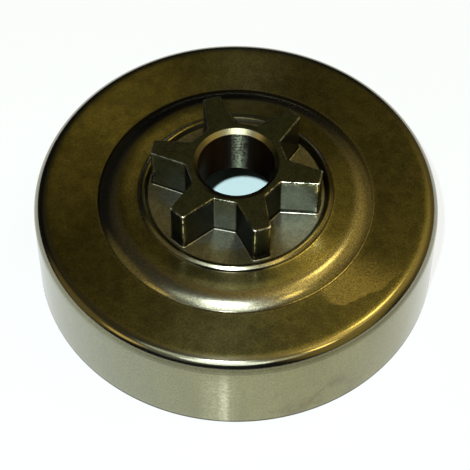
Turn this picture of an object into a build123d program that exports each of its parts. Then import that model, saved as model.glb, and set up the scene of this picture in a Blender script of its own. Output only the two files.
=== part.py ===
"""Chainsaw clutch drum: a pressed steel cup with a spur sprocket brazed into its web.

The drum stands on its open rim, the way it lies on a bench. The origin is the centre
of the rim plane, +Z runs up the spin axis to the sprocket, and a tooth points along +X.
All sizes are in millimetres.
"""

import os
from math import cos, isclose, pi, sin, sqrt

from build123d import *

# Drum cup: a sheet steel pressing, open below
drum_diameter = 70.0  # outside of the friction wall
wall_thickness = 2.5  # friction wall, ground inside
web_thickness = 2.5  # closed end, measured along the axis
web_height = 17.2  # open rim to the top of the web, at the foot of the boss
face_fall = 1.0  # fall of the annular face from the outer edge to the foot of the boss
edge_round = 2.4  # outer edge of the closed end
corner_round = 1.0  # inner corner between wall and web
rim_chamfer = 0.4  # both edges of the open rim

# Raised boss pressed up around the sprocket hole
boss_rise = 1.55  # flat top of the boss above the crease at its foot
shoulder_width = 3.8  # curved shoulder from the flat top out to the crease
boss_flat_width = 3.16  # flat top between the bead and the shoulder
bead_radius = 0.75  # half-round bead rolled up around the hole
braze_gap = 0.04  # radial gap for the brazed seam around the sprocket's disc

# Spur sprocket: a toothed star on a disc, with a needle bearing bore
tooth_count = 6
tip_diameter = 29.4  # circle through the tooth tips
tip_width = 3.0  # across a tooth at its tip
disc_margin = 0.6  # disc beyond the tooth tips
gap_floor_width = 3.9  # across the flat floor of a tooth gap
hub_wall = 1.9  # bore to that floor
tooth_height = 8.45  # teeth above the disc
bearing_bore = 13.0  # takes a needle cage
bore_chamfer = 0.8  # both ends of the bore
root_round = 0.4  # where a flank meets the gap floor
tip_round = 0.35  # upright edges of the tooth tips
top_chamfer = 0.2  # broken edge around the top of the star

# Sizes that follow, from the spin axis outwards
bore_radius = bearing_bore / 2
gap_floor_distance = bore_radius + hub_wall
tip_radius = tip_diameter / 2
disc_radius = tip_radius + disc_margin
hole_radius = disc_radius + braze_gap
bead_outer_radius = hole_radius + 2 * bead_radius
boss_top_radius = bead_outer_radius + boss_flat_width
crease_radius = boss_top_radius + shoulder_width
drum_radius = drum_diameter / 2
inner_radius = drum_radius - wall_thickness

# Heights that follow, from the open rim upwards
face_slope = face_fall / (drum_radius - crease_radius)
inner_corner_height = web_height - web_thickness + face_slope * (inner_radius - crease_radius)
outer_corner_height = web_height + face_fall
boss_height = web_height + boss_rise
disc_bottom = boss_height - web_thickness
star_top = boss_height + tooth_height

# Drum cup: one turned profile of the pressed sheet
outer_corner = (drum_radius, outer_corner_height)
inner_corner = (inner_radius, inner_corner_height)
under_boss_edge = (boss_top_radius, disc_bottom)
with BuildPart() as drum_cup:
    with BuildSketch(Plane.XZ) as sheet_section:
        with BuildLine():
            hole_wall = Line((hole_radius, disc_bottom), (hole_radius, boss_height))
            bead = ThreePointArc(
                hole_wall @ 1,
                (hole_radius + bead_radius, boss_height + bead_radius),
                (bead_outer_radius, boss_height),
            )
            boss_flat = Line(bead @ 1, (boss_top_radius, boss_height))
            shoulder = TangentArc(boss_flat @ 1, (crease_radius, web_height), tangent=(1, 0))
            outside = Polyline(
                shoulder @ 1,
                outer_corner,
                (drum_radius, rim_chamfer),
                (drum_radius - rim_chamfer, 0),
                (inner_radius + rim_chamfer, 0),
                (inner_radius, rim_chamfer),
                inner_corner,
                (crease_radius, web_height - web_thickness),
            )
            TangentArc(under_boss_edge, outside @ 1, tangent=(1, 0))
            Line(under_boss_edge, hole_wall @ 0)
        make_face()
        fillet(sheet_section.vertices().sort_by_distance(outer_corner)[0], edge_round)
        fillet(sheet_section.vertices().sort_by_distance(inner_corner)[0], corner_round)
    revolve(axis=Axis.Z)
drum_cup.part.label = "drum_cup"

# Spur sprocket: the gaps between the teeth are wedges with a flat floor, cut from a round blank
half_pitch = pi / tooth_count
half_tip = tip_width / 2
half_floor = gap_floor_width / 2
tip_reach = sqrt(tip_radius**2 - half_tip**2)
tip_corner_x = tip_reach * cos(half_pitch) + half_tip * sin(half_pitch)
tip_corner_y = tip_reach * sin(half_pitch) - half_tip * cos(half_pitch)
cutter_reach = 1.5  # how far the wedge runs along a flank, as a share of the flank
cutter_x = gap_floor_distance + cutter_reach * (tip_corner_x - gap_floor_distance)
cutter_y = half_floor + cutter_reach * (tip_corner_y - half_floor)
with BuildPart() as spur_sprocket:
    with BuildSketch(Plane.XY.offset(boss_height)) as star:
        Circle(tip_radius)
        with PolarLocations(0, tooth_count, start_angle=180 / tooth_count):
            Polygon(
                (gap_floor_distance, -half_floor),
                (cutter_x, -cutter_y),
                (cutter_x, cutter_y),
                (gap_floor_distance, half_floor),
                align=None,
                mode=Mode.SUBTRACT,
            )
        by_radius = star.vertices().group_by(lambda corner: round(Vector(corner).length, 3))
        root_corners, tip_corners = by_radius[0], by_radius[-1]
        fillet(root_corners, root_round)
        fillet(tip_corners, tip_round)
    extrude(amount=tooth_height)
    chamfer(spur_sprocket.faces().sort_by(Axis.Z)[-1].edges(), top_chamfer)
    with BuildSketch(Plane.XY.offset(disc_bottom)):
        Circle(disc_radius)
    extrude(amount=web_thickness)
    with BuildSketch(Plane.XY.offset(disc_bottom)):
        Circle(bore_radius)
    extrude(amount=star_top - disc_bottom, mode=Mode.SUBTRACT)
    bore_ends = spur_sprocket.edges().filter_by(GeomType.CIRCLE).filter_by(
        lambda edge: isclose(edge.radius, bore_radius)
    )
    chamfer(bore_ends, bore_chamfer)
spur_sprocket.part.label = "spur_sprocket"

os.makedirs("parts", exist_ok=True)
export_step(drum_cup.part, "parts/drum_cup.step")
export_step(spur_sprocket.part, "parts/spur_sprocket.step")
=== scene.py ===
"""Looks of a chainsaw clutch drum: a pressed steel cup with a spur sprocket in its web.

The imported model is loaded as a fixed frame. Both nodes are replaced by finer surfaces of the
same form, worked out with numpy, and dressed as oiled pressed steel and as hardened steel.
Sizes are in millimetres until a mesh is made, which is in metres.
"""

import logging
import math
from dataclasses import dataclass
from enum import Enum

import bpy
import numpy as np
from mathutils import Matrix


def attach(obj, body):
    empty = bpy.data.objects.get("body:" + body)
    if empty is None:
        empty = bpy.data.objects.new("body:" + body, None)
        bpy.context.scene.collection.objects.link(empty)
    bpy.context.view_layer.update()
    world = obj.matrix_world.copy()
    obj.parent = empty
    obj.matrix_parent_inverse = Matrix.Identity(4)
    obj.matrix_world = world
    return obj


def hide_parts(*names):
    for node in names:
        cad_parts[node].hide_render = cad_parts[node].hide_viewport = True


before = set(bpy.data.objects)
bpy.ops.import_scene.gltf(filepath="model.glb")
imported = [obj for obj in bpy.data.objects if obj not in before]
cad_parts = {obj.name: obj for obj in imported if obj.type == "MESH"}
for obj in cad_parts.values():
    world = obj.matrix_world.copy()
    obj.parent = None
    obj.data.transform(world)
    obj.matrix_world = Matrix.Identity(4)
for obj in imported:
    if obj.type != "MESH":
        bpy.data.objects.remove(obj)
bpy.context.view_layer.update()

log = logging.getLogger("clutch_drum")

MM = 0.001
SMOOTH_BELOW = 35.0
ACROSS_THE_TURNING = 0.25
Colour = tuple[float, float, float]
Span = tuple[float, float]


class Blend(Enum):
    """How one colour is laid over another."""

    COVER = "MIX"
    MULTIPLY = "MULTIPLY"
    ADD = "ADD"


class Ray(Enum):
    """Kinds of ray that see the floor as a plain white sheet."""

    CAMERA = "Is Camera Ray"
    GLOSSY = "Is Glossy Ray"
    TRANSMISSION = "Is Transmission Ray"


class Signal:
    """An output socket on its way through a board: arithmetic on it adds Math nodes."""

    def __init__(self, board: "Board", socket: bpy.types.NodeSocket) -> None:
        """Keeps the board that the socket stands on, and the socket."""
        self.board = board
        self.socket = socket

    def math(self, operation: str, *others: "Signal | float") -> "Signal":
        """Puts this value first into a Math node.

        Args:
            operation: the Math node's operation.
            others: the values that follow this one.

        Returns:
            The node's result.
        """
        return self.board.math(operation, self, *others)

    def __add__(self, other: "Signal | float") -> "Signal":
        """This value plus another."""
        return self.math("ADD", other)

    __radd__ = __add__

    def __sub__(self, other: "Signal | float") -> "Signal":
        """This value less another."""
        return self.math("SUBTRACT", other)

    def __rsub__(self, other: float) -> "Signal":
        """A number less this value."""
        return self.board.math("SUBTRACT", other, self)

    def __mul__(self, other: "Signal | float") -> "Signal":
        """This value times another."""
        return self.math("MULTIPLY", other)

    __rmul__ = __mul__

    def __or__(self, other: "Signal | float") -> "Signal":
        """The larger of two masks."""
        return self.math("MAXIMUM", other)

    __ror__ = __or__


@dataclass(frozen=True)
class Patches:
    """Noise cut to patches: lumps per millimetre, where a patch starts and is full, and the detail."""

    scale: float
    low: float
    high: float
    detail: float = 3.0


@dataclass(frozen=True)
class Sector:
    """A stretch of the circle in degrees: middle, half its width, fade at its ends, and its share."""

    middle: float
    half: float
    fade: float
    share: float = 1.0


@dataclass
class Placed:
    """A node that stands on a board, whose outputs are read by name or number."""

    board: "Board"
    node: bpy.types.Node

    def __getitem__(self, output: int | str) -> Signal:
        """The output of that name or number."""
        return Signal(self.board, self.node.outputs[output])


class Board:
    """The node board of a material or of the world."""

    def __init__(self, tree: bpy.types.NodeTree) -> None:
        """Clears the tree, so that only what is added here stands on it."""
        self.tree = tree
        tree.nodes.clear()

    def node(self, kind: str, settings: dict, sockets: dict) -> Placed:
        """Adds a node.

        Args:
            kind: the node's type.
            settings: what is set on the node itself, before its sockets.
            sockets: a number, colour, vector or signal for each input, by name or number.

        Returns:
            The node on this board.
        """
        node = self.tree.nodes.new(kind)
        for name, value in settings.items():
            setattr(node, name, value)
        for name, value in sockets.items():
            if isinstance(value, Signal):
                self.tree.links.new(value.socket, node.inputs[name])
            else:
                node.inputs[name].default_value = value
        return Placed(self, node)

    def math(self, operation: str, *values: Signal | float) -> Signal:
        """The result of a Math node on these values, in order."""
        return self.node("ShaderNodeMath", {"operation": operation}, dict(enumerate(values)))[0]

    def step(self, value: Signal, low: float, high: float) -> Signal:
        """Rises smoothly from 0 at low to 1 at high."""
        sockets = {"Value": value, "From Min": low, "From Max": high}
        return self.node("ShaderNodeMapRange", {"interpolation_type": "SMOOTHSTEP"}, sockets)[0]

    def band(self, value: Signal, centre: float, half_width: float, fade: float) -> Signal:
        """1 within half_width of centre, falling smoothly to 0 over the fade."""
        away = (value - centre).math("ABSOLUTE")
        return 1 - self.step(away, half_width, half_width + fade)

    def noise(self, place: Signal, scale: float, detail: float = 2.0) -> Signal:
        """Even noise about 0.5 at a place, with that many lumps per unit of length."""
        sockets = {"Vector": place, "Scale": scale, "Detail": detail}
        return self.node("ShaderNodeTexNoise", {}, sockets)["Fac"]

    def patches(self, place: Signal, kind: Patches) -> Signal:
        """1 in the patches of a kind and 0 between them, with smooth edges."""
        return self.step(self.noise(place, kind.scale, kind.detail), kind.low, kind.high)

    def lay(self, under: "Signal | Colour", over: "Signal | Colour", mask: Signal | float,
            how: Blend = Blend.COVER) -> Signal:
        """Lays one colour over another.

        Args:
            under: the colour below.
            over: the colour on top.
            mask: how much of the top colour shows.
            how: the way the two are mixed.

        Returns:
            The mixed colour.
        """
        sockets = {0: mask}
        for number, colour in ((6, under), (7, over)):
            sockets[number] = colour if isinstance(colour, Signal) else (*colour, 1.0)
        settings = {"data_type": "RGBA", "blend_type": how.value}
        return self.node("ShaderNodeMix", settings, sockets)[2]

    def shade(self, colour: "Signal | Colour", factor: Signal) -> Signal:
        """Makes a colour lighter or darker by a factor."""
        grey = self.node("ShaderNodeCombineColor", {}, {0: factor, 1: factor, 2: factor})["Color"]
        return self.lay(colour, grey, 1.0, Blend.MULTIPLY)

    def put_out(self, mask: Signal, under: Placed, over: Placed) -> None:
        """Ends a material's board with one shader laid over another."""
        mixed = self.node("ShaderNodeMixShader", {}, {0: mask, 1: under[0], 2: over[0]})
        self.node("ShaderNodeOutputMaterial", {}, {"Surface": mixed[0]})


@dataclass
class Place:
    """Where a point of a round piece lies, in millimetres, on the piece's own coordinates."""

    board: Board
    point: Signal
    radius: Signal
    height: Signal
    angle: Signal

    @classmethod
    def on(cls, board: Board) -> "Place":
        """Reads Object coordinates: radius is the distance from the Z axis, angle is in degrees."""
        metres = board.node("ShaderNodeTexCoord", {}, {})["Object"]
        sockets = {0: metres, "Scale": 1 / MM}
        point = board.node("ShaderNodeVectorMath", {"operation": "SCALE"}, sockets)[0]
        parts = board.node("ShaderNodeSeparateXYZ", {}, {0: point})
        x, y, z = parts["X"], parts["Y"], parts["Z"]
        radius = (x * x + y * y).math("SQRT")
        angle = y.math("ARCTAN2", x) * math.degrees(1)
        return cls(board, point, radius, z, angle)

    def within(self, *sectors: Sector) -> Signal:
        """The share of each sector inside it, falling smoothly to 0 at its ends, all added up."""
        band, angle = self.board.band, self.angle
        masks = [band(angle, one.middle, one.half, one.fade) * one.share for one in sectors]
        return sum(masks[1:], masks[0])

    def facing(self, angle: float, turns: int = 1) -> Signal:
        """The cosine of the angle between here and there, which swings that many times around."""
        return ((self.angle - angle) * math.radians(turns)).math("COSINE")


def new_material(name: str) -> tuple[bpy.types.Material, Board]:
    """Makes an empty material of that name and the board of its nodes."""
    material = bpy.data.materials.new(name)
    material.use_nodes = True
    return material, Board(material.node_tree)


@dataclass(frozen=True)
class OiledPressing:
    """Pressed steel with an olive bronze oil film on its flats, burnished where it stands proud.

    Spans say where a smooth step starts and ends, sectors on which side of the cup a tone lies; most
    such tones are painted light and shade.
    """

    film: Colour = (0.255, 0.243, 0.108)
    film_dark: Colour = (0.168, 0.160, 0.074)
    # Colour of a patch thinned by rubbing, painted bright as a highlight.
    rub_and_sheen: Colour = (0.92, 0.81, 0.39)
    burnished: Colour = (0.28, 0.267, 0.205)
    # Dark colour for dirt in the bead's joint, and for painted shade in creases, corners and under the
    # outer round.
    seam_and_shade: Colour = (0.026, 0.022, 0.013)
    wall: Colour = (0.196, 0.203, 0.104)
    wall_warm: Colour = (0.222, 0.205, 0.078)
    inside: Colour = (0.24, 0.23, 0.20)
    stain: Colour = (0.15, 0.12, 0.04)
    # Light colour of a painted highlight strip on the side wall.
    shiny: Colour = (0.62, 0.59, 0.40)
    film_roughness: float = 0.25
    film_grain: float = 0.75
    wall_roughness: float = 0.31
    wall_coat: float = 0.78
    coat_roughness: float = 0.12
    coat_thin: Sector = Sector(-42.0, 12.0, 18.0, 0.4)
    burnished_roughness: float = 0.19
    rim_roughness: float = 0.13
    relief_depth: float = 0.004
    relief_scale: float = 3.8
    cloud_scale: float = 0.11
    cloud_fine_scale: float = 0.5
    cloud_span: Span = (0.36, 0.62)
    # Painted light: the film's tone swings once around, lighter on one side.
    lit_side_angle: float = -18.0
    lit_side_swing: float = 0.26
    # Painted light and shade on the face outside the boss, by side.
    face_sides: tuple[Sector, ...] = (
        Sector(-46.0, 13.0, 16.0, 0.35),
        Sector(-112.0, 12.0, 16.0, 0.32),
        Sector(135.0, 10.0, 25.0, -0.25),
    )
    # Painted shade on the far side.
    far_dark: Sector = Sector(90.0, 8.0, 42.0, 0.42)
    # Painted light and shade on the boss's flat, by side.
    flat_light_angle: float = 172.0
    flat_light_start: float = 0.4
    flat_dark: Sector = Sector(-80.5, 12.0, 22.0, 0.6)
    flat_dull: Sector = Sector(-80.5, 25.0, 25.0, 0.05)
    # The bright patch's angle; the second swing is a painted reflection of the turning marks' gloss,
    # twice around.
    rub_sheen_angle: float = -41.0
    twice_sheen_swing: float = 0.16
    rub_sheen_edge: float = 28.0
    rub_sheen_slant: float = 0.183
    rub_sheen_wander: float = 2.6
    rub_sheen_wander_scale: float = 0.32
    rub_sheen_fade: Span = (-0.12, 0.25)
    rub_sheen_start: Span = (-2.5, 1.5)
    rub_sheen_end: Span = (10.0, 29.0)
    rub_sheen_start_on_boss: Span = (-12.0, 12.0)
    rub_sheen_on_boss: float = 0.45
    # Sides where the painted dark of the bead's joint and of the crease is taken off.
    seam_clear: tuple[Sector, ...] = (Sector(15.0, 40.0, 30.0, 0.7), Sector(-122.0, 26.0, 18.0, 0.6))
    crease_clear: tuple[Sector, ...] = (Sector(5.0, 52.0, 15.0, 0.75), Sector(-127.0, 26.0, 12.0, 0.8))
    # Sides with painted shade at the bead's foot, on the bead, on the far shoulder and under the outer
    # round.
    foot_dark: Sector = Sector(-80.0, 14.0, 12.0, 0.8)
    bead_dark: Sector = Sector(33.0, 16.0, 16.0, 0.8)
    shoulder_dark: Sector = Sector(124.0, 22.0, 18.0, 0.5)
    line_side: Sector = Sector(-58.0, 38.0, 26.0)
    warm_side: Sector = Sector(-15.0, 45.0, 60.0)
    streak_scale: Colour = (0.18, 0.18, 0.06)
    # Where the painted highlight strip on the wall lies, beside it, and its breakup.
    sheen_strip: Sector = Sector(-80.5, 0.3, 2.3)
    sheen_beside: Sector = Sector(-81.7, 0.5, 6.5, 0.4)
    sheen_patches: Patches = Patches(1.4, 0.25, 0.75)
    blotch_side: Sector = Sector(-55.0, 8.0, 14.0, 0.55)
    blotch_patches: Patches = Patches(0.28, 0.46, 0.66)
    stain_side: Sector = Sector(-55.0, 5.0, 5.0)
    stain_patches: Patches = Patches(0.9, 0.3, 0.7)
    stain_height: float = 4.4
    stain_slant: float = 0.40

    def film_colour(self, board: Board, place: Place, cup: "DrumCup") -> Signal:
        """The film on the closed end: cloudy, with painted light and shade by side, and one patch
        thinned by rubbing and painted bright as a highlight.

        Its tone swings with the angle, once and twice around, and changes in sectors, which are others
        on the boss's flat than outside it: this is painted light and shade, for where light and the
        gloss of the turning marks fall. The patch lies inside a slanting edge and fades along the
        circle. Outside the crease it starts sharply, and on the boss it is faint and starts softly.
        """
        point, radius = place.point, place.radius
        cloud = board.noise(point, self.cloud_scale, 3.0) * 0.5
        cloud = cloud + board.noise(point, self.cloud_fine_scale, 4.0) * 0.5
        film = board.lay(self.film_dark, self.film, board.step(cloud, *self.cloud_span))
        # Painted light and shade: the tone swings once around, and twice around as the gloss of the
        # turning marks.
        swing = place.facing(self.lit_side_angle) * self.lit_side_swing
        swing = swing + place.facing(self.rub_sheen_angle, 2) * self.twice_sheen_swing
        on_flat = 1 - board.step(radius - cup.boss_top_radius, -1.5, 0.0)
        # Painted light and shade in sectors, others on the boss's flat.
        face_tone = place.within(*self.face_sides) * (1 - on_flat)
        flat_light = place.facing(self.flat_light_angle) - self.flat_light_start | 0.0
        flat_tone = (flat_light - place.within(self.flat_dark)) * on_flat
        film = board.shade(film, 1 + swing - place.within(self.far_dark) + face_tone + flat_tone)
        # A patch thinned by rubbing and painted bright as a highlight.
        turned = place.angle - self.rub_sheen_angle
        wander = (board.noise(point, self.rub_sheen_wander_scale) - 0.5) * self.rub_sheen_wander
        patch = board.step(self.rub_sheen_edge + turned * self.rub_sheen_slant + wander - radius, *self.rub_sheen_fade)
        patch = patch * (1 - board.step(turned, *self.rub_sheen_end))
        outside = board.step(radius - cup.crease_radius, -0.2, 0.2)
        hard = board.step(turned, *self.rub_sheen_start)
        soft = board.step(turned, *self.rub_sheen_start_on_boss) * self.rub_sheen_on_boss
        patch = patch * (soft + (hard - soft) * outside)
        return board.lay(film, self.rub_and_sheen, patch * (0.8 + cloud * 0.3))

    def wall_colour(self, board: Board, place: Place) -> Signal:
        """The bare side wall: warm on one side, with upright streaks, a bright painted highlight strip
        and a stain.

        The stain is a slanting streak, whose height grows with the angle, among low blotches.
        """
        point, height = place.point, place.height
        sockets = {0: point, 1: self.streak_scale}
        stretched = board.node("ShaderNodeVectorMath", {"operation": "MULTIPLY"}, sockets)[0]
        wall = board.lay(self.wall, self.wall_warm, place.within(self.warm_side))
        wall = board.shade(wall, 0.78 + board.noise(stretched, 1.0, 3.0) * 0.44)
        # A painted highlight strip down the wall, broken in patches.
        shiny = place.within(self.sheen_strip) | place.within(self.sheen_beside)
        shiny = shiny * board.band(height, 6.0, 4.0, 8.0)
        shiny = shiny * (0.4 + board.patches(point, self.sheen_patches) * 0.6)
        wall = board.lay(wall, self.shiny, shiny)
        blotch = board.patches(point, self.blotch_patches) * place.within(self.blotch_side)
        wall = board.lay(wall, self.stain, blotch * (1 - board.step(height, 6.0, 11.0)))
        rise = height - self.stain_height - (place.angle - self.stain_side.middle) * self.stain_slant
        stain = board.band(rise, 0.0, 0.25, 1.1) * place.within(self.stain_side)
        return board.lay(wall, self.stain, stain * board.patches(point, self.stain_patches))

    def material(self, cup: "DrumCup") -> bpy.types.Material:
        """Dresses the cup by radius and height.

        The closed end has the film, whose turning marks stretch its gloss across them. The bead, the
        shoulder and the outer round are burnished, and the side wall and the inside are bare steel.
        A dark colour marks dirt in the joint at the bead's inner side, where it is also painted shade
        that hides a highlight. It is painted shade on the bead's top and one side, in the crease, at the
        bead's foot, on the wall under the outer round and along its lower edge, most of these on some
        sides only. The far shoulder is painted darker as shade.

        Args:
            cup: the sizes that say where each surface lies.

        Returns:
            The finished material.
        """
        material, board = new_material("oiled_pressing")
        place = Place.on(board)
        radius, height = place.radius, place.height
        from_web = height - cup.web_height
        from_round = radius - (cup.drum_radius - cup.edge_round)
        from_hole = radius - cup.hole_radius
        on_top = board.step(height, cup.disc_bottom + 0.1, cup.web_height - 0.2)
        on_top = on_top | board.step(from_round, 0.0, 0.2)
        on_wall = (1 - board.step(from_web, -0.9, -0.2)) * board.step(from_round, 0.9, 1.6)
        on_rim = board.step(from_round, -0.2, 1.0)
        on_shoulder = board.band(radius, cup.boss_top_radius + 0.58 * cup.shoulder_width, 1.2, 1.1)
        crown = on_shoulder | board.band(from_hole, 1.6 * cup.bead_radius, 0.2, 0.3) | on_rim

        # Painted dark on the bead's inner side: dirt in the joint, and painted shade that hides its
        # highlight, taken off on two sides.
        in_seam = (1 - board.step(from_hole, 0.30, 0.50)) * (1 - place.within(*self.seam_clear))
        # Painted shade in the crease and at the bead's foot, on some sides.
        in_crease = board.band(radius, cup.crease_radius, 0.10, 0.2) * 0.8
        in_crease = in_crease * (1 - place.within(*self.crease_clear))
        in_foot = board.band(from_hole, 2 * cup.bead_radius, 0.10, 0.15)
        in_foot = in_foot * (0.2 + place.within(self.foot_dark))
        # Painted shade on the bead's top and on one side of it.
        bead_top = board.band(from_hole, cup.bead_radius, 0.4, 0.3)
        bead_side = board.band(from_hole, cup.bead_radius, 0.75, 0.3) * place.within(self.bead_dark)
        top = board.lay(self.film_colour(board, place, cup), self.seam_and_shade, bead_top * 0.5)
        top = board.lay(top, self.burnished, crown)
        top = board.lay(top, self.seam_and_shade, bead_side)
        # Painted shade on the far shoulder.
        top = board.shade(top, 1 - on_shoulder * place.within(self.shoulder_dark))
        top = board.lay(top, self.seam_and_shade, in_seam | in_crease | in_foot)

        # Painted shade: a contact shadow along the wall's lower edge, and a dark line and band under the
        # outer round on some sides.
        low_edge = 1 - board.step(height, 0.55, 0.95)
        line = board.band(from_web, -1.55, 0.08, 0.16) * 0.5 | board.step(from_web, -1.5, -1.1) * 0.42
        line = low_edge * 0.85 | line * place.within(self.line_side)
        colour = board.lay(self.inside, top, on_top)
        colour = board.lay(colour, self.wall_colour(board, place), on_wall)
        colour = board.lay(colour, self.seam_and_shade, on_wall * line)
        fine = board.noise(place.point, self.relief_scale, 3.0)
        rough = 1 - on_rim * (0.85 - on_wall * 0.45)
        colour = board.shade(colour, 1 + (fine - 0.5) * (0.4 + 1.5 * rough))
        relief = {"Height": fine * rough, "Distance": self.relief_depth * MM}
        normal = board.node("ShaderNodeBump", {}, relief)[0]

        on_flat = board.band(radius, cup.boss_top_radius - 0.5 * cup.boss_flat_width, 1.2, 1.2)
        dull = in_seam * on_top * 0.4 + on_flat * place.within(self.flat_dull)
        turned_gloss = self.film_roughness + on_wall * (self.wall_roughness - self.film_roughness)
        crown_gloss = self.burnished_roughness + on_rim * (self.rim_roughness - self.burnished_roughness)
        coat = on_wall * (1 - low_edge) * self.wall_coat * (1 - place.within(self.coat_thin))
        steel = {"Base Color": colour, "Metallic": 1.0, "Normal": normal}
        turned = board.node("ShaderNodeBsdfPrincipled", {}, {
            **steel,
            "Roughness": turned_gloss + dull,
            "Anisotropic": self.film_grain,
            "Anisotropic Rotation": ACROSS_THE_TURNING,
            "Coat Weight": coat,
            "Coat Roughness": self.coat_roughness,
        })
        polished = board.node("ShaderNodeBsdfPrincipled", {}, {**steel, "Roughness": crown_gloss + dull})
        board.put_out(crown * (1 - on_wall), turned, polished)
        return material


@dataclass(frozen=True)
class HardenedSteel:
    """Dark hardened steel, burnished in broken lines along its edges."""

    flank: Colour = (0.056, 0.060, 0.052)
    floor: Colour = (0.22, 0.224, 0.185)
    film: Colour = (0.060, 0.066, 0.042)
    bright: Colour = (0.36, 0.35, 0.30)
    # A painted highlight for the glints at the top's corners.
    glint: Colour = (0.95, 0.95, 0.90)
    lip: Colour = (0.36, 0.325, 0.21)
    disc_film: Colour = (0.15, 0.125, 0.045)
    # Dark colour round the bore on one side of the top.
    dark_by_bore: Colour = (0.012, 0.012, 0.012)
    # The bore's strip colour, lighter as a painted reflection; the rest of the bore is painted near
    # black as shade.
    bore: Colour = (0.105, 0.126, 0.086)
    bore_shade: Colour = (0.034, 0.026, 0.024)
    edge_tint: float = 0.5
    flank_roughness: float = 0.30
    floor_roughness: float = 0.42
    film_roughness: float = 0.36
    lip_roughness: float = 0.27
    bore_roughness: float = 0.43
    bore_grain: float = 1.0
    grain_depth: float = 0.006
    grain_scale: float = 2.6
    blotch_scale: float = 0.6
    rubbed_span: Span = (0.44, 0.58)
    glint_span: Span = (1.0, 1.3)
    disc_film_start: Span = (11.2, 13.2)
    disc_film_wander: float = 7.0
    # Where the disc is bare of oil and painted lighter.
    disc_bare_and_lit: Sector = Sector(-15.0, 22.0, 14.0)
    # Painted shade deeper at the foot of the flanks in some gaps.
    dark_gap: Sector = Sector(-30.0, 20.0, 8.0, 0.85)
    # The lip is painted lighter on the side where light falls.
    lip_angle: float = 122.0
    lip_swing: float = 1.5
    lip_drop: float = 0.26
    lip_least: float = 0.3
    # The side where the top is darker round the bore.
    dark_by_bore_side: Sector = Sector(-77.0, 30.0, 25.0, 0.9)
    # The bore's strip of painted reflection, broken into dashes.
    bore_sheen_strip: Sector = Sector(97.5, 10.0, 5.0)
    bore_dashes: Patches = Patches(1.9, 0.42, 0.58)

    def material(self, sprocket: "SpurSprocket") -> bpy.types.Material:
        """Dresses the sprocket by radius, height and its attribute of rubbing and sheen.

        The top and the disc are oily, and the flanks are dark; the corners at the foot of the flanks,
        deeper in some gaps, have painted shade. Edges are bright where rubbing and sheen are high,
        fuller on the lit side as painted highlight, and have painted glints where they are highest. The
        disc is bare of oil and painted lighter on one side. The bore's lip is painted lighter on the
        side where light falls, and the top is darker round the bore on the other side. The turning marks
        in the bore stretch its gloss upright; the bore is painted near black as shade, and one strip of
        it lighter, in short level dashes, as a painted reflection.

        Args:
            sprocket: the sizes that say where each surface lies, and the name of its attribute of
                rubbing and sheen.

        Returns:
            The finished material.
        """
        material, board = new_material("hardened_steel")
        place = Place.on(board)
        from_top = place.height - sprocket.star_top
        from_disc = place.height - sprocket.boss_height
        from_bore = place.radius - sprocket.bore_radius
        fine = board.noise(place.point, self.grain_scale, 3.0)
        blotch = board.noise(place.point, self.blotch_scale, 4.0)
        wear_and_sheen = board.node("ShaderNodeAttribute", {"attribute_name": sprocket.wear_and_sheen_name}, {})["Fac"]
        on_top = board.step(from_top, -0.1, -0.02)
        on_floor = 1 - board.step(from_disc, 0.02, 0.15)
        in_bore = 1 - board.step(from_bore, 0.02, 0.08)
        on_lip = 1 - board.step(from_bore, 0.72, 0.8)
        near_bore = 1 - board.step(from_bore, 1.1, 1.5)
        broken = board.step(blotch * 0.5 + fine * 0.5, *self.rubbed_span)
        rub_and_sheen = (wear_and_sheen * broken).math("MINIMUM", 1.0)

        wander = (blotch - 0.5) * self.disc_film_wander
        oiled = board.step(place.radius + wander, *self.disc_film_start) * 0.7
        # Bare of oil and painted lighter on one side.
        bare = place.within(self.disc_bare_and_lit)
        disc = board.lay(self.floor, self.disc_film, oiled * (1 - bare))
        disc = board.shade(disc, 1 + bare * 0.2)
        colour = board.lay(self.flank, disc, on_floor)
        colour = board.lay(colour, self.film, on_top)
        # Painted shade in the corners at the foot of the flanks, deeper in some gaps.
        in_corner = board.band(from_disc, 0.35, 0.15, 0.12) * 0.7
        in_gap = board.band(from_disc, 0.5, 0.3, 0.15) * place.within(self.dark_gap)
        in_corner = (in_corner | in_gap) * (1 - on_lip)
        colour = board.shade(colour, (fine * 1.2 + blotch * 0.8) * (1 - in_corner))
        # Bright edges from rubbing, fuller on the lit side as painted highlight, and painted glints at
        # the corners.
        colour = board.lay(colour, self.bright, rub_and_sheen)
        colour = board.lay(colour, self.glint, board.step(wear_and_sheen, *self.glint_span))
        # The lip painted lighter on the side where light falls.
        side = place.facing(self.lip_angle) * self.lip_swing - self.lip_drop | self.lip_least
        colour = board.lay(colour, board.shade(self.lip, side), on_lip)
        # Darker round the bore on one side of the top.
        colour = board.lay(colour, self.dark_by_bore, near_bore * place.within(self.dark_by_bore_side))
        roughness = self.flank_roughness + on_top * (self.film_roughness - self.flank_roughness)
        roughness = roughness + on_floor * (self.floor_roughness - self.flank_roughness)
        roughness = roughness + (fine - 0.5) * 0.10
        roughness = roughness * (1 - rub_and_sheen * 0.5) * (1 - on_lip) + on_lip * self.lip_roughness
        grain = {"Height": fine, "Distance": self.grain_depth * MM}
        steel = {"Metallic": 1.0, "Normal": board.node("ShaderNodeBump", {}, grain)[0]}
        plain = board.node("ShaderNodeBsdfPrincipled", {}, {
            **steel,
            "Base Color": colour,
            "Roughness": roughness,
            "Specular Tint": (self.edge_tint, self.edge_tint, self.edge_tint, 1.0),
        })
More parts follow.
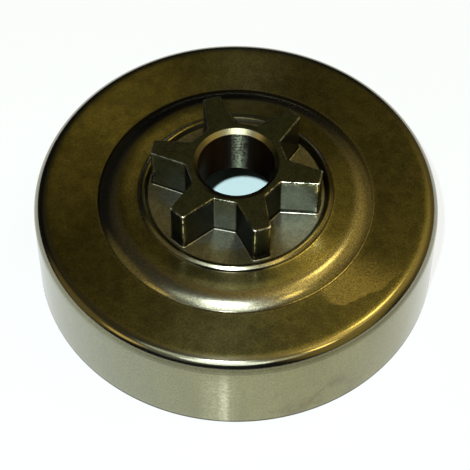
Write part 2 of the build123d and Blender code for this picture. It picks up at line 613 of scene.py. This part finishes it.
        # The bore painted near black as shade, with one strip lighter in dashes as a painted reflection.
        dash = 0.03 + board.patches(place.point, self.bore_dashes) * 0.97
        turned = board.node("ShaderNodeBsdfPrincipled", {}, {
            **steel,
            "Base Color": board.lay(self.bore_shade, self.bore, place.within(self.bore_sheen_strip) * dash),
            "Roughness": self.bore_roughness,
            "Anisotropic": self.bore_grain,
            "Anisotropic Rotation": ACROSS_THE_TURNING,
        })
        board.put_out(in_bore, plain, turned)
        return material


def straight(start: tuple[float, float], end: tuple[float, float], count: int) -> np.ndarray:
    """Points from start to end, in equal steps, with both ends."""
    share = np.linspace(0, 1, count)[:, None]
    return (1 - share) * np.array(start) + share * np.array(end)


def arc(centre: tuple[float, float], radius: float, first: float, last: float, count: int) -> np.ndarray:
    """Points on a circle: centre plus radius times (cos a, sin a), for a from first to last degrees."""
    angle = np.radians(np.linspace(first, last, count))
    return np.array(centre) + radius * np.stack([np.cos(angle), np.sin(angle)], axis=1)


def rounded_corners(corners: np.ndarray, radii: np.ndarray, count: int) -> np.ndarray:
    """Rounds the corners of a closed polygon, all at once.

    At each corner the unit vectors to its two neighbours enclose an angle. The round's centre lies on
    the bisector, radius over the sine of half that angle away. Its arc turns the vector from the centre
    to the first tangent point into the one to the second, by the usual blend of the two with sines.

    Args:
        corners: the polygon's corners in order, one row each.
        radii: the radius at each corner.
        count: points on each arc.

    Returns:
        An array of corner by point by coordinate.
    """
    to_last = np.roll(corners, 1, axis=0) - corners
    to_next = np.roll(corners, -1, axis=0) - corners
    to_last /= np.linalg.norm(to_last, axis=1, keepdims=True)
    to_next /= np.linalg.norm(to_next, axis=1, keepdims=True)
    half = np.arccos(np.clip((to_last * to_next).sum(1), -1, 1))[:, None] / 2
    bisector = to_last + to_next
    bisector /= np.linalg.norm(bisector, axis=1, keepdims=True)
    radius = radii[:, None]
    centre = corners + bisector * radius / np.sin(half)
    first = corners + to_last * radius / np.tan(half) - centre
    last = corners + to_next * radius / np.tan(half) - centre
    turn = (math.pi - 2 * half)[:, :, None]
    share = np.linspace(0, 1, count)[None, :, None]
    blend = np.sin((1 - share) * turn) * first[:, None] + np.sin(share * turn) * last[:, None]
    return centre[:, None] + blend / np.sin(turn)


def closed_grid_mesh(name: str, grid: np.ndarray) -> bpy.types.Object:
    """Makes a mesh from a grid of points that closes both ways, like a ring.

    The face at row i and column j joins it to row i + 1 and column j + 1, counted round, so the rows
    run so that the faces point outwards. Edges that turn little are shaded smooth.

    Args:
        name: the object's and the mesh's name.
        grid: row by column by coordinate, in millimetres.

    Returns:
        The object, at the origin and linked to the scene.
    """
    rows, columns = grid.shape[:2]
    number = np.arange(rows * columns).reshape(rows, columns)
    right, below = np.roll(number, -1, axis=1), np.roll(number, -1, axis=0)
    quads = np.stack([number, right, np.roll(below, -1, axis=1), below], axis=-1).reshape(-1, 4)
    mesh = bpy.data.meshes.new(name)
    mesh.vertices.add(number.size)
    mesh.vertices.foreach_set("co", (grid.reshape(-1, 3) * MM).astype(np.float32).ravel())
    mesh.loops.add(quads.size)
    mesh.loops.foreach_set("vertex_index", quads.astype(np.int32).ravel())
    mesh.polygons.add(len(quads))
    mesh.polygons.foreach_set("loop_start", np.arange(0, quads.size, 4, dtype=np.int32))
    mesh.update(calc_edges=True)
    mesh.validate()
    mesh.shade_smooth()
    mesh.set_sharp_from_angle(angle=math.radians(SMOOTH_BELOW))
    piece = bpy.data.objects.new(name, mesh)
    bpy.context.scene.collection.objects.link(piece)
    return piece


def stand_for(piece: bpy.types.Object, node: str, material: bpy.types.Material) -> None:
    """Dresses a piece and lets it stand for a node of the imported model."""
    piece.data.materials.append(material)
    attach(piece, "root")
    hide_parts(node)


@dataclass
class DrumCup:
    """The pressed cup, with its raised boss and the bead around the hole."""

    drum_radius: float = 35.0
    wall_thickness: float = 2.5
    web_thickness: float = 2.5
    web_height: float = 17.2
    face_fall: float = 1.0
    edge_round: float = 2.4
    corner_round: float = 1.0
    rim_chamfer: float = 0.4
    boss_rise: float = 1.55
    shoulder_width: float = 3.8
    boss_flat_width: float = 3.16
    bead_radius: float = 0.75
    bead_foot_round: float = 0.25
    crease_round: float = 0.3
    hole_radius: float = 15.34
    bead_flat_start: float = 78.0
    bead_flat_end: float = 34.0
    rim_round: float = 0.1
    columns: int = 360
    finish: OiledPressing = OiledPressing()

    @property
    def boss_height(self) -> float:
        """Flat top of the boss above the open rim."""
        return self.web_height + self.boss_rise

    @property
    def disc_bottom(self) -> float:
        """Underside of the boss above the open rim."""
        return self.boss_height - self.web_thickness

    @property
    def boss_top_radius(self) -> float:
        """Where the flat top of the boss turns down."""
        return self.hole_radius + 2 * self.bead_radius + self.boss_flat_width

    @property
    def crease_radius(self) -> float:
        """Where the shoulder of the boss meets the annular face."""
        return self.boss_top_radius + self.shoulder_width

    def shoulder(self, drop: float) -> np.ndarray:
        """The shoulder's arc, lowered by a drop.

        It leaves the flat top level and ends at the crease, so its radius is (width squared plus
        rise squared) over twice the rise.
        """
        width, rise = self.shoulder_width, self.boss_rise
        radius = (width**2 + rise**2) / (2 * rise)
        centre = (self.boss_top_radius, self.boss_height - drop - radius)
        return arc(centre, radius, 90, 90 - math.degrees(math.asin(width / radius)), 14)

    def profile(self) -> np.ndarray:
        """The section of the sheet as a closed line of radius and height.

        It runs over the bead, which has a small worn flat, out along the top, down the wall, back up the
        inside and in along the underside. Lines and arcs are joined end to end.
        """
        crease = self.crease_radius
        inner = self.drum_radius - self.wall_thickness
        slope = self.face_fall / (self.drum_radius - crease)
        under = self.web_height - self.web_thickness
        hole_bottom = (self.hole_radius, self.disc_bottom)
        bead_centre = (self.hole_radius + self.bead_radius, self.boss_height)
        reach = self.bead_radius + self.bead_foot_round
        foot = math.degrees(math.asin(self.bead_foot_round / reach))
        foot_centre = (
            bead_centre[0] + reach * math.cos(math.radians(foot)),
            self.boss_height + self.bead_foot_round,
        )
        ends = arc(bead_centre, self.bead_radius, self.bead_flat_start, self.bead_flat_end, 2)
        flat = straight(tuple(ends[0]), tuple(ends[1]), 17)[[1, -2]]
        top = self.shoulder(0.0)
        bottom = self.shoulder(self.web_thickness)
        bends = np.array([
            top[-2],
            (crease, self.web_height),
            (self.drum_radius, self.web_height + self.face_fall),
            (self.drum_radius, self.rim_chamfer),
            (self.drum_radius - self.rim_chamfer, 0.0),
            (inner + self.rim_chamfer, 0.0),
            (inner, self.rim_chamfer),
            (inner, under + slope * (inner - crease)),
            bottom[-1],
        ])
        radii = np.full(len(bends), self.rim_round)
        radii[[1, 2, 7]] = self.crease_round, self.edge_round, self.corner_round
        rounds = rounded_corners(bends, radii, 13)
        return np.concatenate([
            straight(hole_bottom, (self.hole_radius, self.boss_height), 4)[:-1],
            arc(bead_centre, self.bead_radius, 180, self.bead_flat_start, 10),
            flat,
            arc(bead_centre, self.bead_radius, self.bead_flat_end, foot, 4),
            arc(foot_centre, self.bead_foot_round, 180 + foot, 270, 6)[1:],
            straight((foot_centre[0], self.boss_height), tuple(top[0]), 8)[1:-1],
            top[:-1],
            rounds[1, ::3],
            straight(tuple(rounds[1, -1]), tuple(rounds[2, 0]), 12)[1:-1],
            rounds[2],
            straight(tuple(rounds[2, -1]), tuple(rounds[3, 0]), 10)[1:-1],
            rounds[3:7, ::4].reshape(-1, 2),
            straight(tuple(rounds[6, -1]), tuple(rounds[7, 0]), 8)[1:-1],
            rounds[7, ::2],
            straight(tuple(rounds[7, -1]), tuple(bottom[-1]), 8)[1:-1],
            bottom[::-1],
            straight(tuple(bottom[0]), hole_bottom, 5)[1:-1],
        ])

    def build(self) -> bpy.types.Object:
        """Turns the section about the Z axis: (r cos a, r sin a, z), for a right round."""
        line = self.profile()[::-1]
        angle = np.linspace(0, 2 * math.pi, self.columns, endpoint=False)
        radius, height = line[:, :1], np.broadcast_to(line[:, 1:], (len(line), self.columns))
        grid = np.stack([radius * np.cos(angle), radius * np.sin(angle), height], axis=-1)
        return closed_grid_mesh("pressed_cup", grid)

    def dress(self, piece: bpy.types.Object) -> None:
        """Gives the cup its finish and lets it stand for its node."""
        stand_for(piece, "drum_cup", self.finish.material(self))


@dataclass(frozen=True)
class Rings:
    """Rings of a skin: points from above, heights, rubbing and sheen, and whether they lie on the
    flanks.
    """

    points: np.ndarray
    heights: np.ndarray | list[float] | float
    wear_and_sheen: list[float] | float = 0.0
    flank: bool = False

    def spread(self, value: np.ndarray | list[float] | float) -> np.ndarray:
        """A column with a value for each ring, from one for each or one for all."""
        return np.broadcast_to(value, len(self.points))[:, None]


@dataclass
class SpurSprocket:
    """The toothed star on its disc, with the bearing bore."""

    tooth_count: int = 6
    tip_radius: float = 14.7
    tip_width: float = 3.0
    gap_floor_width: float = 3.9
    gap_floor_distance: float = 8.4
    boss_height: float = 18.75
    disc_bottom: float = 16.25
    disc_radius: float = 15.3
    star_top: float = 27.2
    bore_radius: float = 6.5
    bore_chamfer: float = 0.8
    root_round: float = 0.4
    tip_round: float = 0.35
    top_round: float = 0.2
    foot_round: float = 0.25
    edge_break: float = 0.1
    under_radii: tuple[float, ...] = (12.5, 9.8)
    wear_reach: float = 0.12
    upright_wear: float = 0.9
    # The side where edges are fullest: painted brighter there, as highlight.
    edge_sheen_angle: float = -60.0
    wear_and_sheen_name: str = "wear_and_sheen"
    finish: HardenedSteel = HardenedSteel()

    def outline(self) -> tuple[np.ndarray, np.ndarray]:
        """The star seen from above, as a closed line, and how near each point is to an upright edge.

        A gap has a flat floor and two straight flanks that end at the tooth tips. Its four corners are
        turned round the axis for each gap, and the corners are rounded. The tips bulge out to the tip
        circle: at a distance t beside the tooth's middle, the bulge is the root of (tip radius squared
        less t squared), less the same at the tip's corner.

        Returns:
            The points, one row each, and a number from 0 to 1 for each.
        """
        half_tip, half_floor = self.tip_width / 2, self.gap_floor_width / 2
        reach = math.sqrt(self.tip_radius**2 - half_tip**2)
        pitch = math.pi / self.tooth_count
        tip = (
            reach * math.cos(pitch) + half_tip * math.sin(pitch),
            reach * math.sin(pitch) - half_tip * math.cos(pitch),
        )
        gap = np.array([
            (tip[0], -tip[1]),
            (self.gap_floor_distance, -half_floor),
            (self.gap_floor_distance, half_floor),
            tip,
        ])
        turn = pitch + 2 * pitch * np.arange(self.tooth_count)[:, None]
        corners = np.stack([
            gap[:, 0] * np.cos(turn) - gap[:, 1] * np.sin(turn),
            gap[:, 0] * np.sin(turn) + gap[:, 1] * np.cos(turn),
        ], axis=-1).reshape(-1, 2)
        radii = [self.tip_round, self.root_round, self.root_round, self.tip_round]
        arcs = rounded_corners(corners, np.tile(radii, self.tooth_count), 7)
        share = ((1 - np.cos(np.linspace(0, math.pi, 12)[1:-1])) / 2)[None, :, None]
        starts, ends = arcs[:, -1:], np.roll(arcs[:, :1], -1, axis=0)
        edges = (1 - share) * starts + share * ends
        points = np.concatenate([arcs, edges], axis=1)

        at_tip = np.tile([1.0, 0.0, 0.0, 1.0], self.tooth_count)[:, None]
        run = np.linalg.norm(ends - starts, axis=2)
        along = share[:, :, 0] * run
        from_start = at_tip * np.exp(-along / self.wear_reach)
        from_end = np.roll(at_tip, -1, axis=0) * np.exp(-(run - along) / self.wear_reach)
        on_arcs = np.broadcast_to(at_tip, arcs.shape[:2])
        near = np.concatenate([on_arcs, from_start + from_end], axis=1).ravel()
        points = points.reshape(-1, 2)

        turned = np.arctan2(points[:, 1], points[:, 0])
        middle = np.round(turned / (2 * pitch)) * 2 * pitch
        outward = np.stack([np.cos(middle), np.sin(middle)], axis=1)
        beside = np.abs(points[:, 0] * outward[:, 1] - points[:, 1] * outward[:, 0])
        on_tip = ((points * outward).sum(1) > reach - 0.5 * self.tip_round) & (beside < half_tip)
        bulge = np.sqrt(self.tip_radius**2 - np.minimum(beside, half_tip)**2) - reach
        return points + np.where(on_tip, bulge, 0.0)[:, None] * outward, near

    def build(self) -> bpy.types.Object:
        """Carries the outline up through rings, closes them into one skin and marks its wear.

        The rings run up the bore, out over the star's top, round its edge, down the flanks, round their
        foot, out over the disc, down its edge and in along the underside. A ring is a circle, or the
        outline moved along its own normals, or a share of the way from one such ring to another.
        The attribute of rubbing and sheen is set by ring, and is more at the upright edges and most at
        the top's corners, where it makes painted glints. It is full on one side, at the edge sheen
        angle, and falls with the cosine to a fifth on the other, so that edges are painted brighter
        where light falls.
        """
        line, near = self.outline()
        ahead = np.roll(line, -1, axis=0) - np.roll(line, 1, axis=0)
        ahead /= np.linalg.norm(ahead, axis=1, keepdims=True)
        normal = np.stack([ahead[:, 1], -ahead[:, 0]], axis=1)
        spoke = line / np.linalg.norm(line, axis=1, keepdims=True)

        def circles(*radii: float) -> np.ndarray:
            """One round ring for each radius."""
            return np.array(radii)[:, None, None] * spoke[None]

        def offsets(moves: np.ndarray | list[float]) -> np.ndarray:
            """One ring for each distance that the outline is moved outwards."""
            return line[None] + np.asarray(moves)[:, None, None] * normal[None]

        def between(first: np.ndarray, last: np.ndarray, shares: list[float]) -> np.ndarray:
            """One ring for each share of the way from the first ring to the last."""
            share = np.array(shares)[:, None, None]
            return (1 - share) * first + share * last

        quarter = np.linspace(0, math.pi / 2, 6)
        lip = self.bore_radius + self.bore_chamfer
        lip_inset = 0.05
        bore_low, bore_high = self.disc_bottom + self.bore_chamfer, self.star_top - self.bore_chamfer
        flank_low, flank_high = self.boss_height + self.foot_round, self.star_top - self.top_round
        disc_edge = self.disc_radius - self.edge_break
        top_edge, floor_start = offsets([-1.5 * self.top_round]), offsets([self.foot_round])
        top_shares, floor_shares = [0.25, 0.5, 0.7, 0.85, 0.95], [0.1, 0.25, 0.45, 0.65, 0.85, 1.0]
        top, disc, bottom = self.star_top, self.boss_height, self.disc_bottom
        parts = [
            Rings(circles(lip), bottom),
            Rings(circles(*[self.bore_radius] * 20), np.linspace(bore_low, bore_high, 20)),
            Rings(circles(lip - lip_inset, lip), [top - lip_inset, top]),
            Rings(between(circles(lip), top_edge, top_shares), top),
            Rings(top_edge, top, 0.2),
            Rings(
                offsets(self.top_round * (np.sin(quarter) - 1)),
                top + self.top_round * (np.cos(quarter) - 1),
                [0.6, 0.8, 0.9, 0.9, 0.8, 0.5],
                flank=True,
            ),
            Rings(
                offsets(np.zeros(14)),
                np.linspace(flank_high, flank_low, 16)[1:-1],
                [0.1] + [0.0] * 13,
                flank=True,
            ),
            Rings(
                offsets(self.foot_round * (1 - np.cos(quarter))),
                disc + self.foot_round * (1 - np.sin(quarter)),
                [0.1, 0.2, 0.4, 0.5, 0.5, 0.3],
            ),
            Rings(between(floor_start, circles(disc_edge), floor_shares), disc, [0.0] * 5 + [0.2]),
            Rings(
                circles(self.disc_radius, self.disc_radius, disc_edge),
                [disc - self.edge_break, bottom + self.edge_break, bottom],
                [0.2, 0.0, 0.0],
            ),
            Rings(circles(*self.under_radii), bottom),
        ]
        points = np.concatenate([part.points for part in parts])
        heights = np.concatenate([part.spread(part.heights) for part in parts])
        shiny = np.concatenate([part.spread(part.wear_and_sheen) for part in parts])
        upright = np.concatenate([part.spread(part.flank) for part in parts])
        levels = np.broadcast_to(heights[..., None], (*points.shape[:2], 1))
        piece = closed_grid_mesh("toothed_star", np.concatenate([points, levels], axis=2))

        # Rubbing on the upright edges, doubled at the top's corners for painted glints, and fullest on
        # one side as painted highlight.
        on_edges = self.upright_wear * upright * near
        wear_and_sheen = np.maximum(shiny, on_edges) + np.where(shiny > 0.75, on_edges, 0.0)
        turned = np.arctan2(line[:, 1], line[:, 0]) - math.radians(self.edge_sheen_angle)
        wear_and_sheen = wear_and_sheen * (0.6 + 0.4 * np.cos(turned))
        layer = piece.data.attributes.new(self.wear_and_sheen_name, "FLOAT", "POINT")
        layer.data.foreach_set("value", wear_and_sheen.astype(np.float32).ravel())
        return piece

    def dress(self, piece: bpy.types.Object) -> None:
        """Gives the sprocket its finish and lets it stand for its node."""
        stand_for(piece, "spur_sprocket", self.finish.material(self))


@dataclass(frozen=True)
class Glow:
    """A soft patch of light in the sky, full within its inner angle and gone at its outer one."""

    sideways: float
    elevation: float
    inner: float
    outer: float
    colour: Colour


@dataclass
class Studio:
    """Floor, light and camera. Angles are in degrees, sideways angles from the camera to its right."""

    camera_azimuth: float = 12.56
    camera_elevation: float = 54.68
    camera_distance: float = 341.23
    camera_roll: float = -0.3565
    camera_lens: float = 151.44
    camera_sensor: float = 36.0
    camera_clip: Span = (10.0, 20000.0)
    aim_height: float = 18.03
    aim_right: float = -0.196
    aim_up: float = -7.05
    floor_radius: float = 3000.0
    floor_corners: int = 96
    drum_radius: float = 35.0
    floor_colour: Colour = (0.70, 0.90, 0.94)
    floor_glow: float = 0.85
    sky_high: Colour = (0.070, 0.058, 0.027)
    sky_low: Colour = (0.012, 0.012, 0.011)
    sky_start: float = 30.0
    sky_full: float = 57.0
    glows: tuple[Glow, ...] = (
        Glow(124.0, 64.0, 2.0, 7.0, (8.0, 6.0, 1.9)),
        Glow(52.0, 55.0, 2.0, 6.5, (6.0, 4.5, 1.4)),
        Glow(86.0, 66.0, 3.0, 16.0, (1.1, 0.82, 0.24)),
        Glow(108.0, 62.0, 8.0, 44.0, (0.43, 0.315, 0.078)),
        Glow(118.0, 27.0, 10.0, 42.0, (0.24, 0.175, 0.045)),
        Glow(54.0, 27.0, 8.0, 30.0, (0.40, 0.30, 0.07)),
        Glow(-56.0, 32.0, 3.0, 12.0, (1.25, 0.93, 0.30)),
        Glow(-80.0, 25.0, 8.0, 28.0, (0.24, 0.185, 0.05)),
        Glow(-43.0, 56.0, 3.0, 11.0, (0.80, 0.90, 0.72)),
        Glow(-28.0, 42.0, 6.0, 24.0, (0.22, 0.25, 0.20)),
        Glow(27.0, 50.0, 3.0, 11.0, (0.95, 0.90, 0.62)),
    )
    key_sideways: float = -8.0
    key_elevation: float = 58.0
    key_distance: float = 370.0
    key_size: float = 11.0
    key_power: float = 1.6
    key_colour: Colour = (0.90, 1.0, 0.98)
    card_sideways: float = -5.0
    card_elevation: float = 44.0
    card_distance: float = 400.0
    card_width: float = 245.0
    card_depth: float = 150.0
    card_power: float = 0.28

    def towards(self, sideways: float, elevation: float) -> np.ndarray:
        """The direction that lies that far to the camera's right and that far above the floor."""
        turn = math.radians(self.camera_azimuth - 90 + sideways)
        rise = math.radians(elevation)
        level = math.cos(rise)
        return np.array([level * math.cos(turn), level * math.sin(turn), math.sin(rise)])

    def add(self, name: str, data: bpy.types.ID, back: np.ndarray, at: np.ndarray,
            roll: float = 0.0) -> bpy.types.Object:
        """Adds a lamp or the camera.

        Args:
            name: the object's name.
            data: the lamp or camera.
            back: the direction from what it looks at to itself.
            at: its place in metres.
            roll: its turn about its own view, in degrees.

        Returns:
            The object, linked to the scene.
        """
        right = np.cross([0.0, 0.0, 1.0], back)
        right /= np.linalg.norm(right)
        up = np.cross(back, right)
        c, s = math.cos(math.radians(roll)), math.sin(math.radians(roll))
        matrix = np.eye(4)
        matrix[:3] = np.stack([c * right - s * up, s * right + c * up, back, at], axis=1)
        thing = bpy.data.objects.new(name, data)
        thing.matrix_world = matrix.T.tolist()
        bpy.context.scene.collection.objects.link(thing)
        return thing

    def middle(self) -> np.ndarray:
        """The point on the axis that the camera and the lamps are set about, in millimetres."""
        return np.array([0.0, 0.0, self.aim_height])

    def place_camera(self) -> None:
        """Sets the camera at the viewing angle, aimed at a point below the middle of the closed end."""
        data = bpy.data.cameras.new("camera")
        data.lens, data.sensor_width = self.camera_lens, self.camera_sensor
        data.sensor_fit = "HORIZONTAL"
        data.clip_start, data.clip_end = np.array(self.camera_clip) * MM
        back = self.towards(0.0, self.camera_elevation)
        camera = self.add("camera", data, back, np.zeros(3), self.camera_roll)
        axes = np.array(camera.matrix_world)[:3, :3]
        aim = self.middle() + axes @ np.array([self.aim_right, self.aim_up, 0.0])
        camera.location = (aim + self.camera_distance * back) * MM
        bpy.context.scene.camera = camera

    def place_lamps(self) -> None:
        """Adds a small key lamp beside the camera, and a wide card that shows only in reflections."""
        key = bpy.data.lights.new("key", "AREA")
        key.shape, key.size = "DISK", self.key_size * MM
        key.energy, key.color = self.key_power, self.key_colour
        back = self.towards(self.key_sideways, self.key_elevation)
        self.add("key", key, back, (back * self.key_distance + self.middle()) * MM)
        card = bpy.data.lights.new("card", "AREA")
        card.shape = "ELLIPSE"
        card.size, card.size_y = self.card_width * MM, self.card_depth * MM
        card.energy, card.color = self.card_power, self.key_colour
        back = self.towards(self.card_sideways, self.card_elevation)
        lamp = self.add("card", card, back, (back * self.card_distance + self.middle()) * MM)
        lamp.visible_diffuse = False

    def paint_sky(self) -> None:
        """Gives the world a soft light from above that fades towards the horizon, and its glows.

        A glow is a smooth step on the cosine between a direction and the glow's own.
        """
        world = bpy.data.worlds.new("studio")
        world.use_nodes = True
        bpy.context.scene.world = world
        board = Board(world.node_tree)
        direction = board.node("ShaderNodeTexCoord", {}, {})["Generated"]
        rise = board.node("ShaderNodeSeparateXYZ", {}, {0: direction})["Z"]
        low, high = math.sin(math.radians(self.sky_start)), math.sin(math.radians(self.sky_full))
        colour = board.lay(self.sky_low, self.sky_high, board.step(rise, low, high))
        for glow in self.glows:
            middle = tuple(self.towards(glow.sideways, glow.elevation))
            sockets = {0: direction, 1: middle}
            cosine = board.node("ShaderNodeVectorMath", {"operation": "DOT_PRODUCT"}, sockets)["Value"]
            outer, inner = math.cos(math.radians(glow.outer)), math.cos(math.radians(glow.inner))
            mask = board.step(cosine, outer, inner)
            colour = board.lay(colour, glow.colour, mask, Blend.ADD)
        light = board.node("ShaderNodeBackground", {}, {"Color": colour, "Strength": 1.0})
        board.node("ShaderNodeOutputWorld", {}, {"Surface": light[0]})

    def lay_floor(self) -> None:
        """Lays a white disc that is bright to the camera and to reflections outside the drum.

        Its edge is a circle, radius times (cos a, sin a), around one flat face.
        """
        count = self.floor_corners
        angle = np.linspace(0, 2 * math.pi, count, endpoint=False)
        ring = np.stack([np.cos(angle), np.sin(angle), np.zeros(count)], axis=1)
        mesh = bpy.data.meshes.new("floor")
        mesh.from_pydata((ring * self.floor_radius * MM).tolist(), [], [list(range(count))])
        floor = bpy.data.objects.new("floor", mesh)
        bpy.context.scene.collection.objects.link(floor)
        material, board = new_material("white_floor")
        place = Place.on(board)
        path = board.node("ShaderNodeLightPath", {}, {})
        seen = path[Ray.CAMERA.value] | path[Ray.GLOSSY.value] | path[Ray.TRANSMISSION.value]
        outside = board.step(place.radius, self.drum_radius - 1.0, self.drum_radius)
        matt = board.node("ShaderNodeBsdfDiffuse", {}, {"Color": (*self.floor_colour, 1.0)})
        white = {"Color": (1.0, 1.0, 1.0, 1.0), "Strength": 1.0}
        glow = board.node("ShaderNodeEmission", {}, white)
        board.put_out(seen * outside * self.floor_glow, matt, glow)
        mesh.materials.append(material)

    def build(self) -> None:
        """Sets up the floor, the light and the camera."""
        self.lay_floor()
        self.paint_sky()
        self.place_lamps()
        self.place_camera()
        bpy.context.scene.view_settings.view_transform = "Standard"
        log.info("studio: floor, sky, lamps and camera")


def main() -> None:
    """Builds and dresses the pieces in order, then the studio, and reports each piece."""
    logging.basicConfig(level=logging.INFO, format="%(message)s")
    for part in (DrumCup(), SpurSprocket()):
        piece = part.build()
        part.dress(piece)
        log.info("%s: %d faces", piece.name, len(piece.data.polygons))
    Studio().build()


if __name__ == "__main__":
    main()
